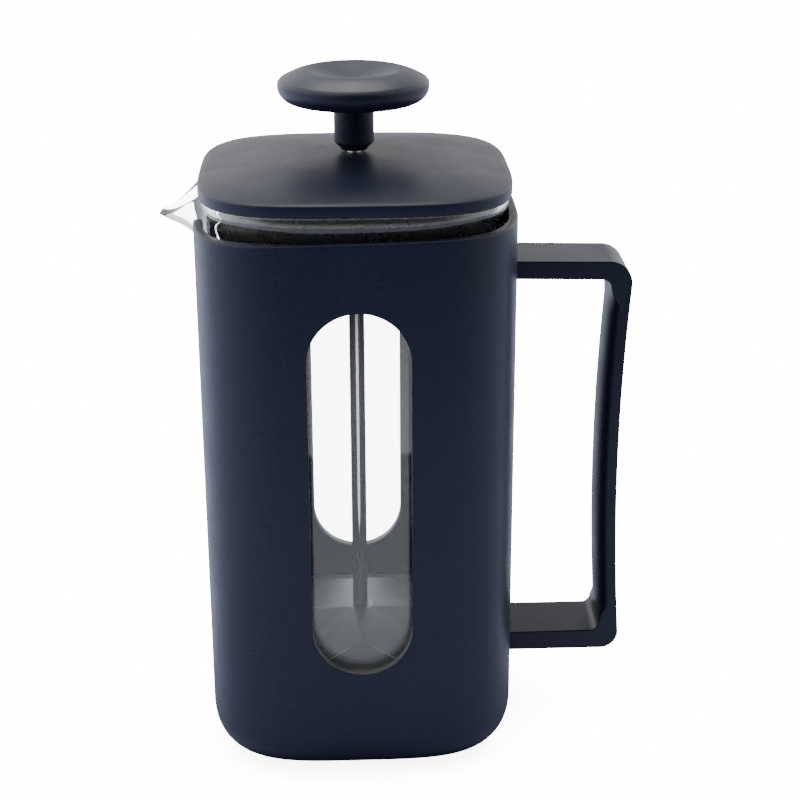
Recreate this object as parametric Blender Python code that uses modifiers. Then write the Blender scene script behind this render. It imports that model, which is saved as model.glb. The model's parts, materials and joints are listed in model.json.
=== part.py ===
"""French press with a rounded-square glass beaker in a plastic sleeve.

Metres, +Z up. The origin is on the table, under the middle of the body. The
handle is at +X, the pouring lip at -X, and the two windows face -Y and +Y.
Sections are superellipses, |x/a|^n + |y/a|^n = 1, with half width a.
"""

import math

import bmesh
import bpy
from mathutils import Matrix, Vector

GAP = 0.0003

# sleeve
BODY_HALF = 0.0503
BODY_POWER = 3.95
SLEEVE_WALL = 0.0030
SLEEVE_BASE_Z = 0.0008
SLEEVE_FILLET = 0.0158
RIM_Z = 0.1821
RIM_SLOPE = 0.018
WINDOW_HALF = 0.0158
WINDOW_LOW = 0.0394
WINDOW_HIGH = 0.1608
NOTCH_HALF = 0.0165
NOTCH_LOW = 0.1645
NOTCH_DEPTH = 0.012

# pads
PAD_RADIUS = 0.026
PAD_TOP = 0.0019
PAD_CHAMFER = 0.0004
CUSHION_RADIUS = 0.028
CUSHION_LOW = 0.0041
CUSHION_TOP = 0.0063

# handle
ARM_HALF = 0.011
UPPER_ARM = (0.1586, 0.1645)
LOWER_ARM = (0.0257, 0.0324)
UPPER_ARM_DROP = 0.0006
GRIP_OUTER = 0.0856
GRIP_INNER = 0.0803
GRIP_BOW = 0.0024
GRIP_MID_Z = 0.0940
GRIP_REACH = 0.062
CORNER_LOW = 0.0060
CORNER_HIGH = 0.0075
CORNER_INNER = 0.0030
HANDLE_ROUND = 0.0014
SCREW_RADIUS = 0.0013
SCREW_HEAD = 0.0030
SCREW_RIM = 0.0003
SCREW_NECK = 0.0018
SCREW_END = 0.0620
SINK_MOUTH = 0.0047
SINK_DEPTH = 0.0027
SINK_OVERLAP = 0.0005

# beaker
GLASS_HALF = 0.0468
GLASS_POWER = 3.32
GLASS_WALL = 0.0022
GLASS_BASE_Z = 0.0066
GLASS_FILLET = 0.0110
GLASS_RIM_Z = 0.1892
GLASS_FLARE = 0.0011
SPOUT_START_Z = 0.1650
SPOUT_HALF = 0.0170
SPOUT_REACH = 0.0142
SPOUT_DROP = 0.0105

# lid
LID_HALF = 0.04865
LID_POWER = 3.65
LID_SEAT_Z = 0.1895
LID_EDGE_Z = 0.1932
LID_DOME = 0.0050
LID_SHELL = 0.0022
LINER_HALF = 0.0440
LINER_TOP = 0.1892
LINER_SHELL = 0.0014
SKIRT_Z = 0.1785
SLOT_Z = 0.1855
SLOT_COUNT = 7
SLOT_PITCH = 0.0036
SLOT_WIDTH = 0.0014
SLOT_HEIGHT = 0.0030
LINER_BORE = 0.0044
BUSHING_RADIUS = 0.0041
BUSHING_TOP = 0.1953
FLANGE_RADIUS = 0.0080
FLANGE_HEIGHT = 0.0015

# plunger
ROD_RADIUS = 0.0025
ROD_TOP = 0.2103
THREAD_RADIUS = 0.0019
ROD_FOOT = 0.0193
KNOB_RADIUS = 0.0237
KNOB_RIM = 0.0049
KNOB_MID_Z = 0.2191
KNOB_CREST = 0.0150
KNOB_DISH = 0.0030
STEM_RADIUS = 0.0063
STEM_CHAMFER = 0.0024
STEM_FOOT = 0.1990
BORE_RADIUS = 0.0040
BORE_TOP = 0.2110
ROD_CHAMFER = 0.0004
FILTER_HALF = 0.0439
HUB_TOP = 0.0396
HUB_RADIUS = 0.0045
DOME_EDGE_Z = 0.0291
DOME_FLANGE = (0.0022, 0.0005)
PLATE_SHEET = 0.0008
SPACER_RADIUS = 0.0040
SEAL_RADIUS = 0.0011
SEAL_Z = 0.0268
SPRING_HOLES = 8
SPRING_HOLE_RADIUS = 0.0050
SPRING_HOLE_REACH = 0.0240
MESH_HALF = 0.0436
MESH_Z = 0.02515
MESH_SHEET = 0.0005
CROSS_HALF = 0.0380
CROSS_Z = 0.0241
CROSS_SHEET = 0.0010
CROSS_HOLES = 4
CROSS_HOLE_RADIUS = 0.0115
CROSS_HOLE_REACH = 0.0220
NUT_RADIUS = 0.0055
NUT_Z = 0.0213
NUT_HEIGHT = 0.0040

SECTION_POINTS = 64


def clear_scene():
    for old in list(bpy.data.objects):
        bpy.data.objects.remove(old, do_unlink=True)


def new_collection(name):
    collection = bpy.data.collections.new(name)
    bpy.context.scene.collection.children.link(collection)
    return collection


clear_scene()
PARTS = new_collection("french_press")
CUTTERS = new_collection("cutters")


def material(name, color, roughness, metallic=0.0, transmission=0.0):
    made = bpy.data.materials.new(name)
    made.use_nodes = True
    shader = made.node_tree.nodes["Principled BSDF"]
    shader.inputs["Base Color"].default_value = (*color, 1.0)
    shader.inputs["Roughness"].default_value = roughness
    shader.inputs["Metallic"].default_value = metallic
    shader.inputs["Transmission Weight"].default_value = transmission
    return made


SOFT_PLASTIC = material("soft_plastic", (0.018, 0.023, 0.036), 0.5)
LINER_PLASTIC = material("liner_plastic", (0.02, 0.02, 0.022), 0.4)
GLASS = material("glass", (0.95, 0.97, 0.97), 0.02, transmission=1.0)
RUBBER = material("rubber", (0.03, 0.03, 0.03), 0.8)
POLISHED_STEEL = material("polished_steel", (0.75, 0.75, 0.76), 0.12, metallic=1.0)
BRUSHED_STEEL = material("brushed_steel", (0.6, 0.6, 0.61), 0.3, metallic=1.0)
BRASS = material("brass", (0.72, 0.52, 0.24), 0.3, metallic=1.0)


def frame_at(name, height):
    """An empty on the press's vertical axis, which one moving body hangs on."""
    empty = bpy.data.objects.new(name, None)
    empty.location = (0.0, 0.0, height)
    PARTS.objects.link(empty)
    return empty


SLEEVE_FRAME = frame_at("sleeve_frame", 0.0)
BEAKER_FRAME = frame_at("beaker_frame", GLASS_BASE_Z)
LID_FRAME = frame_at("lid_frame", LID_SEAT_Z)
PLUNGER_FRAME = frame_at("plunger_frame", HUB_TOP)


def add_part(name, mesh, frame, look):
    """A part whose mesh is drawn in the press's coordinates, hung on a frame."""
    made = bpy.data.objects.new(name, mesh)
    made.parent = frame
    made.location = -frame.location
    mesh.materials.clear()
    mesh.materials.append(look)
    PARTS.objects.link(made)
    return made


def add_cutter(name, mesh, matrix=None):
    made = bpy.data.objects.new(name, mesh)
    made.matrix_world = matrix or Matrix.Identity(4)
    made.hide_render = True
    made.display_type = "WIRE"
    CUTTERS.objects.link(made)
    return made


def cut(part, cutter):
    """Takes the cutter out of the part."""
    step = part.modifiers.new("cut_" + cutter.name, "BOOLEAN")
    step.operation = "DIFFERENCE"
    step.object = cutter


def smooth(mesh, angle=30.0):
    mesh.shade_smooth()
    mesh.set_sharp_from_angle(angle=math.radians(angle))
    return mesh


def superellipse(half, power, angles):
    """Points of a rounded square, counterclockwise from +X."""
    points = []
    for angle in angles:
        c = math.cos(angle)
        s = math.sin(angle)
        x = half * math.copysign(abs(c) ** (2.0 / power), c)
        y = half * math.copysign(abs(s) ** (2.0 / power), s)
        points.append((x, y))
    return points


def even_angles(count=SECTION_POINTS):
    return [2.0 * math.pi * k / count for k in range(count)]


def section(half, power, height, angles=None):
    """A level rounded-square ring."""
    return [Vector((x, y, height)) for x, y in superellipse(half, power, angles or even_angles())]


def circle_like(ring, radius, height):
    """A level circle whose points lie in the same directions as the ring's."""
    return [(Vector((p.x, p.y, 0.0)).normalized() * radius) + Vector((0.0, 0.0, height)) for p in ring]


def loft(name, rings, closed_foot=False):
    """A skin through rings that run upward, or inward over a top; normals face out."""
    build = bmesh.new()
    loops = [[build.verts.new(point) for point in ring] for ring in rings]
    count = len(rings[0])
    for low, high in zip(loops, loops[1:]):
        for k in range(count):
            after = (k + 1) % count
            build.faces.new((low[k], low[after], high[after], high[k]))
    if closed_foot:
        center = build.verts.new(sum(rings[0], Vector()) / count)
        for k in range(count):
            build.faces.new((center, loops[0][(k + 1) % count], loops[0][k]))
    mesh = bpy.data.meshes.new(name)
    build.to_mesh(mesh)
    build.free()
    return smooth(mesh)


def thicken(part, thickness):
    """Gives an outward-facing skin its wall, on the inner side."""
    step = part.modifiers.new("wall", "SOLIDIFY")
    step.thickness = thickness
    step.offset = -1.0
    step.use_even_offset = True


def turned(name, profile, frame, look, steps=36):
    """A solid of revolution; the profile (radius, height) runs down the outer side."""
    build = bmesh.new()
    verts = [build.verts.new((radius, 0.0, height)) for radius, height in profile]
    for first, second in zip(verts, verts[1:]):
        build.edges.new((first, second))
    if profile[0][0] > 0.0 and profile[-1][0] > 0.0:
        build.edges.new((verts[-1], verts[0]))
    mesh = bpy.data.meshes.new(name)
    build.to_mesh(mesh)
    build.free()
    part = add_part(name, mesh, frame, look)
    step = part.modifiers.new("turn", "SCREW")
    step.axis = "Z"
    step.angle = 2.0 * math.pi
    step.steps = steps
    step.render_steps = steps
    step.use_merge_vertices = True
    step.merge_threshold = 0.00001
    step.use_smooth_shade = True
    return part


def slab_mesh(name, outlines, thickness):
    """A flat plate in XY, centred on Z = 0; outlines after the first are its holes."""
    curve = bpy.data.curves.new(name, "CURVE")
    curve.dimensions = "2D"
    curve.fill_mode = "BOTH"
    curve.extrude = thickness / 2.0
    for outline in outlines:
        spline = curve.splines.new("POLY")
        spline.points.add(len(outline) - 1)
        for point, (x, y) in zip(spline.points, outline):
            point.co = (x, y, 0.0, 1.0)
        spline.use_cyclic_u = True
    source = bpy.data.objects.new(name + "_curve", curve)
    CUTTERS.objects.link(source)
    shape = source.evaluated_get(bpy.context.evaluated_depsgraph_get())
    mesh = bpy.data.meshes.new_from_object(shape)
    mesh.name = name
    bpy.data.objects.remove(source)
    build = bmesh.new()
    build.from_mesh(mesh)
    bmesh.ops.remove_doubles(build, verts=build.verts, dist=0.00001)
    build.to_mesh(mesh)
    build.free()
    return mesh


def drum_mesh(name, radius, foot_radius, depth, segments=24):
    """A cylinder or cone along Z, centred: foot_radius at -Z, radius at +Z."""
    build = bmesh.new()
    bmesh.ops.create_cone(
        build,
        cap_ends=True,
        segments=segments,
        radius1=foot_radius,
        radius2=radius,
        depth=depth,
    )
    mesh = bpy.data.meshes.new(name)
    build.to_mesh(mesh)
    build.free()
    return smooth(mesh)


def arc(center_x, center_y, radius, start, end, steps):
    """Points of an arc, angles in degrees."""
    points = []
    for k in range(steps + 1):
        angle = math.radians(start + (end - start) * k / steps)
        points.append((center_x + radius * math.cos(angle), center_y + radius * math.sin(angle)))
    return points


# XY drawings stood up: drawing X stays X, drawing Y becomes Z, the plate lies along Y
UPRIGHT = Matrix.Rotation(math.radians(90.0), 4, "X")


def window_outline():
    """The tall window with its half-round ends."""
    middle_high = WINDOW_HIGH - WINDOW_HALF
    middle_low = WINDOW_LOW + WINDOW_HALF
    top = arc(0.0, middle_high, WINDOW_HALF, 0.0, 180.0, 14)
    foot = arc(0.0, middle_low, WINDOW_HALF, 180.0, 360.0, 14)
    return top + foot


def notch_outline():
    """The rim's cut-out for the pouring lip: half an ellipse, open upward."""
    depth = RIM_Z - NOTCH_LOW
    outline = [(NOTCH_HALF, RIM_Z + depth), (-NOTCH_HALF, RIM_Z + depth)]
    for x, y in arc(0.0, 0.0, 1.0, 180.0, 360.0, 14):
        outline.append((x * NOTCH_HALF, RIM_Z + y * depth))
    return outline


def make_sleeve():
    rings = []
    steps = 6
    for k in range(steps + 1):
        turn = 0.5 * math.pi * k / steps
        half = BODY_HALF - SLEEVE_FILLET * (1.0 - math.sin(turn))
        rings.append(section(half, BODY_POWER, SLEEVE_BASE_Z + SLEEVE_FILLET * (1.0 - math.cos(turn))))
    rim = section(BODY_HALF, BODY_POWER, RIM_Z)
    for point in rim:
        point.z += RIM_SLOPE * point.x
    rings.append(rim)
    sleeve = add_part("sleeve", loft("sleeve", rings, closed_foot=True), SLEEVE_FRAME, SOFT_PLASTIC)
    thicken(sleeve, SLEEVE_WALL)

    window = slab_mesh("window", [window_outline()], 4.0 * BODY_HALF)
    cut(sleeve, add_cutter("window", window, UPRIGHT))

    # the notch drawing is turned so that its plate lies along X, and stands at the -X wall
    side = Matrix.Rotation(math.radians(90.0), 4, "Z") @ UPRIGHT
    notch = slab_mesh("notch", [notch_outline()], NOTCH_DEPTH)
    cut(sleeve, add_cutter("notch", notch, Matrix.Translation((-BODY_HALF, 0.0, 0.0)) @ side))

    pocket = drum_mesh("pad_pocket", PAD_RADIUS + GAP, PAD_RADIUS + GAP, 2.0 * (PAD_TOP + GAP), 40)
    cut(sleeve, add_cutter("pad_pocket", pocket))

    along_x = Matrix.Rotation(math.radians(90.0), 4, "Y")
    inner = BODY_HALF - SLEEVE_WALL
    for label, arm in (("upper", UPPER_ARM), ("lower", LOWER_ARM)):
        height = 0.5 * (arm[0] + arm[1])
        hole = drum_mesh("hole_" + label, SCREW_RADIUS + GAP, SCREW_RADIUS + GAP, 4.0 * SLEEVE_WALL)
        place = Matrix.Translation((BODY_HALF, 0.0, height)) @ along_x
        cut(sleeve, add_cutter("hole_" + label, hole, place))
        sink = drum_mesh("sink_" + label, SCREW_RADIUS + GAP, SINK_MOUTH, SINK_DEPTH)
        place = Matrix.Translation((inner - SINK_OVERLAP + 0.5 * SINK_DEPTH, 0.0, height)) @ along_x
        cut(sleeve, add_cutter("sink_" + label, sink, place))
    return sleeve


def grip_x(base, height):
    """The grip bows inward at mid height, for the fingers."""
    return base + GRIP_BOW * ((height - GRIP_MID_Z) / GRIP_REACH) ** 2


def handle_outline():
    """The handle seen from the front, counterclockwise from the lower arm's root."""
    root = BODY_HALF + GAP
    foot = LOWER_ARM[0] + CORNER_LOW
    head = UPPER_ARM[1] - UPPER_ARM_DROP - CORNER_HIGH
    points = [(root, LOWER_ARM[0])]
    points += arc(grip_x(GRIP_OUTER, foot) - CORNER_LOW, foot, CORNER_LOW, -90.0, 0.0, 5)
    steps = 8
    for k in range(1, steps):
        height = foot + (head - foot) * k / steps
        points.append((grip_x(GRIP_OUTER, height), height))
    points += arc(grip_x(GRIP_OUTER, head) - CORNER_HIGH, head, CORNER_HIGH, 0.0, 90.0, 6)
    points.append((root, UPPER_ARM[1]))
    points.append((root, UPPER_ARM[0]))
    head = UPPER_ARM[0] - UPPER_ARM_DROP - CORNER_INNER
    foot = LOWER_ARM[1] + CORNER_INNER
    points += arc(grip_x(GRIP_INNER, head) - CORNER_INNER, head, CORNER_INNER, 90.0, 0.0, 3)
    for k in range(1, steps):
        height = head + (foot - head) * k / steps
        points.append((grip_x(GRIP_INNER, height), height))
    points += arc(grip_x(GRIP_INNER, foot) - CORNER_INNER, foot, CORNER_INNER, 0.0, -90.0, 3)
    points.append((root, LOWER_ARM[1]))
    return points


def make_handle():
    mesh = slab_mesh("handle", [handle_outline()], 2.0 * ARM_HALF)
    mesh.transform(UPRIGHT)
    handle = add_part("handle", smooth(mesh, 40.0), SLEEVE_FRAME, SOFT_PLASTIC)
    rounding = handle.modifiers.new("rounding", "BEVEL")
    rounding.width = HANDLE_ROUND
    rounding.segments = 2
    rounding.limit_method = "ANGLE"
    rounding.angle_limit = math.radians(60.0)

    along_x = Matrix.Rotation(math.radians(90.0), 4, "Y")
    head_x = BODY_HALF - SLEEVE_WALL + GAP
    for label, arm in (("upper", UPPER_ARM), ("lower", LOWER_ARM)):
        height = 0.5 * (arm[0] + arm[1])
        reach = 2.0 * (SCREW_END + GAP - BODY_HALF)
        hole = drum_mesh("thread_" + label, SCREW_RADIUS + GAP, SCREW_RADIUS + GAP, reach)
        place = Matrix.Translation((BODY_HALF, 0.0, height)) @ along_x
        cut(handle, add_cutter("thread_" + label, hole, place))
        screw = turned(
            "handle_screw_" + label,
            [
                (0.0, 0.0),
                (SCREW_HEAD, 0.0),
                (SCREW_HEAD, -SCREW_RIM),
                (SCREW_RADIUS, -SCREW_NECK),
                (SCREW_RADIUS, head_x - SCREW_END),
                (0.0, head_x - SCREW_END),
            ],
            SLEEVE_FRAME,
            POLISHED_STEEL,
            steps=16,
        )
        screw.location = (head_x, 0.0, height)
        screw.rotation_euler = (0.0, math.radians(-90.0), 0.0)
    return handle


def make_pads():
    turned(
        "base_pad",
        [
            (0.0, PAD_TOP),
            (PAD_RADIUS, PAD_TOP),
            (PAD_RADIUS, PAD_CHAMFER),
            (PAD_RADIUS - PAD_CHAMFER, 0.0),
            (0.0, 0.0),
        ],
        SLEEVE_FRAME,
        RUBBER,
        steps=40,
    )
    turned(
        "beaker_cushion",
        [
            (0.0, CUSHION_TOP),
            (CUSHION_RADIUS, CUSHION_TOP),
            (CUSHION_RADIUS, CUSHION_LOW),
            (0.0, CUSHION_LOW),
        ],
        SLEEVE_FRAME,
        RUBBER,
        steps=40,
    )


def beaker_angles():
    """Section angles, with the flat at -X divided finely enough for the lip."""
    angles = [a for a in even_angles() if abs(a - math.pi) > 0.35]
    for k in range(-8, 9):
        across = SPOUT_HALF * 1.12 * k / 8
        turn = math.asin((abs(across) / GLASS_HALF) ** (GLASS_POWER / 2.0))
        angles.append(math.pi - math.copysign(turn, across))
    return sorted(angles)


def spout_share(across):
    """How much of the lip's reach a point of the rim has, by its distance from the middle."""
    t = min(1.0, abs(across) / SPOUT_HALF)
    return 0.5 * (0.5 + 0.5 * math.cos(math.pi * t)) + 0.5 * (1.0 - t)


def beaker_ring(rise, angles):
    """A ring from the start of the lip (rise 0) to the rim (rise 1)."""
    flare = min(1.0, max(0.0, (rise - 0.7) / 0.22))
    half = GLASS_HALF + GLASS_FLARE * flare * flare * (3.0 - 2.0 * flare)
    ring = []
    for x, y in superellipse(half, GLASS_POWER, angles):
        share = spout_share(y) if x < 0.0 else 0.0
        rim_z = GLASS_RIM_Z - SPOUT_DROP * (1.0 - (1.0 - share) ** 1.5)
        reach = SPOUT_REACH * share * rise**1.9
        ring.append(Vector((x - reach, y, SPOUT_START_Z + (rim_z - SPOUT_START_Z) * rise)))
    return ring


def make_beaker():
    angles = beaker_angles()
    rings = []
    steps = 5
    for k in range(steps + 1):
        turn = 0.5 * math.pi * k / steps
        half = GLASS_HALF - GLASS_FILLET * (1.0 - math.sin(turn))
        height = GLASS_BASE_Z + GLASS_FILLET * (1.0 - math.cos(turn))
        rings.append(section(half, GLASS_POWER, height, angles))
    for rise in (0.0, 0.2, 0.4, 0.55, 0.7, 0.81, 0.92, 1.0):
        rings.append(beaker_ring(rise, angles))
    beaker = add_part("beaker", loft("beaker", rings, closed_foot=True), BEAKER_FRAME, GLASS)
    thicken(beaker, GLASS_WALL)
    return beaker


def lid_height(share):
    """The cover's height at a share of the way from its middle to its edge."""
    return LID_EDGE_Z + LID_DOME * (1.0 - share**2.2)


def make_lid():
    edge = section(LID_HALF, LID_POWER, LID_SEAT_Z)
    rings = [edge, section(LID_HALF, LID_POWER, LID_EDGE_Z - 0.0006)]
    for share in (0.988, 0.85, 0.65, 0.42, 0.2):
        rings.append(section(LID_HALF * share, LID_POWER, lid_height(share)))
    rings.append(circle_like(edge, ROD_RADIUS + 0.0004, lid_height(0.06)))
    cover = add_part("lid_cover", loft("lid_cover", rings), LID_FRAME, SOFT_PLASTIC)
    thicken(cover, LID_SHELL)

    skirt = section(LINER_HALF, GLASS_POWER, SKIRT_Z)
    rings = [
        skirt,
        section(LINER_HALF, GLASS_POWER, LINER_TOP - 0.0006),
        section(LINER_HALF - 0.0006, GLASS_POWER, LINER_TOP),
        section(LINER_HALF * 0.6, GLASS_POWER, LINER_TOP),
        circle_like(skirt, LINER_BORE, LINER_TOP),
    ]
    liner = add_part("lid_liner", loft("lid_liner", rings), LID_FRAME, LINER_PLASTIC)
    thicken(liner, LINER_SHELL)
    for k in range(SLOT_COUNT):
        across = SLOT_PITCH * (k - (SLOT_COUNT - 1) / 2.0)
        build = bmesh.new()
        bmesh.ops.create_cube(build, size=1.0)
        bmesh.ops.scale(build, verts=build.verts, vec=(0.008, SLOT_WIDTH, SLOT_HEIGHT))
        mesh = bpy.data.meshes.new("slot_" + str(k + 1))
        build.to_mesh(mesh)
        build.free()
        place = Matrix.Translation((-LINER_HALF, across, SLOT_Z))
        cut(liner, add_cutter("slot_" + str(k + 1), mesh, place))

    inner = ROD_RADIUS + GAP
    flange_top = LINER_TOP - LINER_SHELL - GAP
    turned(
        "lid_bushing",
        [
            (inner, BUSHING_TOP),
            (BUSHING_RADIUS, BUSHING_TOP),
            (BUSHING_RADIUS, flange_top),
            (FLANGE_RADIUS, flange_top),
            (FLANGE_RADIUS, flange_top - FLANGE_HEIGHT),
            (inner, flange_top - FLANGE_HEIGHT),
        ],
        LID_FRAME,
        LINER_PLASTIC,
        steps=24,
    )


def knob_profile():
    """Down the knob's outside: dished top, crest, rounded edge, flat underside, stem, bore."""
    profile = []
    steps = 5
    for k in range(steps):
        share = k / steps
        dip = KNOB_DISH * (1.0 - share**2) ** 1.5
        profile.append((KNOB_CREST * share, KNOB_MID_Z + KNOB_RIM - dip))
    for x, y in arc(0.0, 0.0, 1.0, 90.0, 0.0, 6):
        profile.append((KNOB_CREST + (KNOB_RADIUS - KNOB_CREST) * x, KNOB_MID_Z + KNOB_RIM * y))
    profile += arc(KNOB_RADIUS - KNOB_RIM, KNOB_MID_Z, KNOB_RIM, 0.0, -90.0, 5)[1:]
    bottom = KNOB_MID_Z - KNOB_RIM
    profile.append((STEM_RADIUS, bottom))
    profile.append((STEM_RADIUS, STEM_FOOT + STEM_CHAMFER))
    profile.append((BORE_RADIUS + 0.0004, STEM_FOOT + 0.0005))
    profile.append((BORE_RADIUS + 0.0001, STEM_FOOT))
    profile.append((BORE_RADIUS, STEM_FOOT))
    profile.append((BORE_RADIUS, BORE_TOP))
    profile.append((0.0, BORE_TOP))
    return profile


def make_plunger():
    turned("knob", knob_profile(), PLUNGER_FRAME, SOFT_PLASTIC, steps=44)
    turned(
        "knob_insert",
        [
            (ROD_RADIUS + GAP, BORE_TOP - GAP),
            (BORE_RADIUS - GAP, BORE_TOP - GAP),
            (BORE_RADIUS - GAP, STEM_FOOT + 0.0004),
            (ROD_RADIUS + GAP, STEM_FOOT + 0.0004),
        ],
        PLUNGER_FRAME,
        BRASS,
        steps=24,
    )
    turned(
        "rod",
        [
            (0.0, ROD_TOP),
            (ROD_RADIUS - ROD_CHAMFER, ROD_TOP),
            (ROD_RADIUS, ROD_TOP - ROD_CHAMFER),
            (ROD_RADIUS, HUB_TOP + GAP),
            (THREAD_RADIUS, HUB_TOP + GAP),
            (THREAD_RADIUS, ROD_FOOT),
            (0.0, ROD_FOOT),
        ],
        PLUNGER_FRAME,
        POLISHED_STEEL,
        steps=28,
    )


def plate(name, outlines, middle_z, thickness, look):
    """A flat plate on the rod's foot, with its clearance hole for the thread."""
    hole = arc(0.0, 0.0, THREAD_RADIUS + GAP, 0.0, 345.0, 23)
    mesh = slab_mesh(name, [*outlines, hole], thickness)
    mesh.transform(Matrix.Translation((0.0, 0.0, middle_z)))
    return add_part(name, mesh, PLUNGER_FRAME, look)


def hole_ring(count, reach, radius, steps):
    """Round holes spaced evenly about the middle, the first half a space past +X."""
    last = 360.0 - 360.0 / steps
    holes = []
    for k in range(count):
        turn = 2.0 * math.pi * (k + 0.5) / count
        holes.append(arc(reach * math.cos(turn), reach * math.sin(turn), radius, 0.0, last, steps - 1))
    return holes


def make_filter():
    angles = even_angles(48)
    edge = section(FILTER_HALF, GLASS_POWER, DOME_EDGE_Z - DOME_FLANGE[1], angles)
    rings = [
        edge,
        section(FILTER_HALF - DOME_FLANGE[0], GLASS_POWER, DOME_EDGE_Z, angles),
        circle_like(edge, HUB_RADIUS, HUB_TOP),
        circle_like(edge, THREAD_RADIUS + GAP, HUB_TOP),
    ]
    dome = add_part("dome_plate", loft("dome_plate", rings), PLUNGER_FRAME, BRUSHED_STEEL)
    thicken(dome, PLATE_SHEET)

    spacer_top = HUB_TOP - PLATE_SHEET - GAP
    spacer_foot = SEAL_Z + 0.5 * PLATE_SHEET + GAP
    turned(
        "hub_spacer",
        [
            (THREAD_RADIUS + GAP, spacer_top),
            (SPACER_RADIUS, spacer_top),
            (SPACER_RADIUS, spacer_foot),
            (THREAD_RADIUS + GAP, spacer_foot),
        ],
        PLUNGER_FRAME,
        BRUSHED_STEEL,
        steps=24,
    )

    spring_outline = superellipse(FILTER_HALF - 2.0 * SEAL_RADIUS, GLASS_POWER, angles)
    spring_holes = hole_ring(SPRING_HOLES, SPRING_HOLE_REACH, SPRING_HOLE_RADIUS, 12)
    plate("spring_plate", [spring_outline, *spring_holes], SEAL_Z, PLATE_SHEET, BRUSHED_STEEL)

    path = bpy.data.curves.new("seal_ring", "CURVE")
    path.dimensions = "3D"
    path.bevel_depth = SEAL_RADIUS
    path.bevel_resolution = 2
    spline = path.splines.new("POLY")
    outline = superellipse(FILTER_HALF + GAP - SEAL_RADIUS, GLASS_POWER, even_angles(56))
    spline.points.add(len(outline) - 1)
    for point, (x, y) in zip(spline.points, outline):
        point.co = (x, y, SEAL_Z, 1.0)
    spline.use_cyclic_u = True
    path.materials.append(POLISHED_STEEL)
    ring = bpy.data.objects.new("seal_ring", path)
    ring.parent = PLUNGER_FRAME
    ring.location = -PLUNGER_FRAME.location
    PARTS.objects.link(ring)

    mesh_outline = superellipse(MESH_HALF, GLASS_POWER, angles)
    plate("mesh_filter", [mesh_outline], MESH_Z, MESH_SHEET, BRUSHED_STEEL)

    cross_outline = superellipse(CROSS_HALF, GLASS_POWER, angles)
    cross_holes = hole_ring(CROSS_HOLES, CROSS_HOLE_REACH, CROSS_HOLE_RADIUS, 24)
    plate("cross_plate", [cross_outline, *cross_holes], CROSS_Z, CROSS_SHEET, BRUSHED_STEEL)

    nut = arc(0.0, 0.0, NUT_RADIUS, 0.0, 300.0, 5)
    plate("base_nut", [nut], NUT_Z, NUT_HEIGHT, BRUSHED_STEEL)


make_sleeve()
make_handle()
make_pads()
make_beaker()
make_lid()
make_plunger()
make_filter()
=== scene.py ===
"""Visual model of the french press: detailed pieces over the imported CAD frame."""
import json
import math

import bmesh
import bpy
from mathutils import Matrix, Vector

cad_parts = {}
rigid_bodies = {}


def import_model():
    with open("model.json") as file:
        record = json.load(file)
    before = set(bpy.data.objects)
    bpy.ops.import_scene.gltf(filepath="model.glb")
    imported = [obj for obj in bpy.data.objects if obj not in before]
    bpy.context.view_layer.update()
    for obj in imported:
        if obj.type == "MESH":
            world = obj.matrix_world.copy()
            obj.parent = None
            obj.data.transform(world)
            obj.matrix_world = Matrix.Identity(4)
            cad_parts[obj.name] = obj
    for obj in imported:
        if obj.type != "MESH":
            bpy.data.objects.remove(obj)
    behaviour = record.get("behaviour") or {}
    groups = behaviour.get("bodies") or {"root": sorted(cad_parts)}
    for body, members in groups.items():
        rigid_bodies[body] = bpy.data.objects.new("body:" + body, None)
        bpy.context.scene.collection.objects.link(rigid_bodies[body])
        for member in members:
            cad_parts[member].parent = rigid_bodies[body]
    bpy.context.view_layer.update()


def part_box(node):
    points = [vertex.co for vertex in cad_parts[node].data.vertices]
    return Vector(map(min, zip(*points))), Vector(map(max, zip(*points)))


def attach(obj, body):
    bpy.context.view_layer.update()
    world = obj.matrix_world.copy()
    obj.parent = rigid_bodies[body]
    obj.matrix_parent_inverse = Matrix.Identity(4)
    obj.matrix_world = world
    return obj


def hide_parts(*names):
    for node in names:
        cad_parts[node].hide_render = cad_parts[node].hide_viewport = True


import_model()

TAU = 2.0 * math.pi
SHARP_ANGLE = 35.0
SQUARE_START = 0.08
SQUARE_RUN = 0.5
CUT_MERGE = 0.00001
CUT_ANGLE = 40.0
SLEEVE_LOW, SLEEVE_HIGH = (Vector(corner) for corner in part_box("sleeve"))
BEAKER_LOW = Vector(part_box("beaker")[0])
COVER_LOW, COVER_HIGH = (Vector(corner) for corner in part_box("lid_cover"))
LINER_LOW, LINER_HIGH = (Vector(corner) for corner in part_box("lid_liner"))
HANDLE_LOW, HANDLE_HIGH = (Vector(corner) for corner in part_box("handle"))
KNOB_LOW, KNOB_HIGH = (Vector(corner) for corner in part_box("knob"))
ROD_LOW, ROD_HIGH = (Vector(corner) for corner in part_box("rod"))
DOME_LOW, DOME_HIGH = (Vector(corner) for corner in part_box("dome_plate"))
SEAL_LOW, SEAL_HIGH = (Vector(corner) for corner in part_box("seal_ring"))

# sleeve
BODY_HALF = SLEEVE_HIGH.x
BODY_POWER = 3.95
SLEEVE_WALL = 0.0030
SLEEVE_FILLET = 0.0158
SLEEVE_LIP = 0.0009
RIM_SLOPE = 0.018
RIM_Z = SLEEVE_HIGH.z - RIM_SLOPE * BODY_HALF
SLOPE_START_Z = 0.15
WINDOW_HALF = 0.0158
WINDOW_LOW = 0.0394
WINDOW_HIGH = 0.1608
NOTCH_HALF = 0.0165
NOTCH_LOW = 0.1645
PAD_GAP = 0.0003

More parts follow.
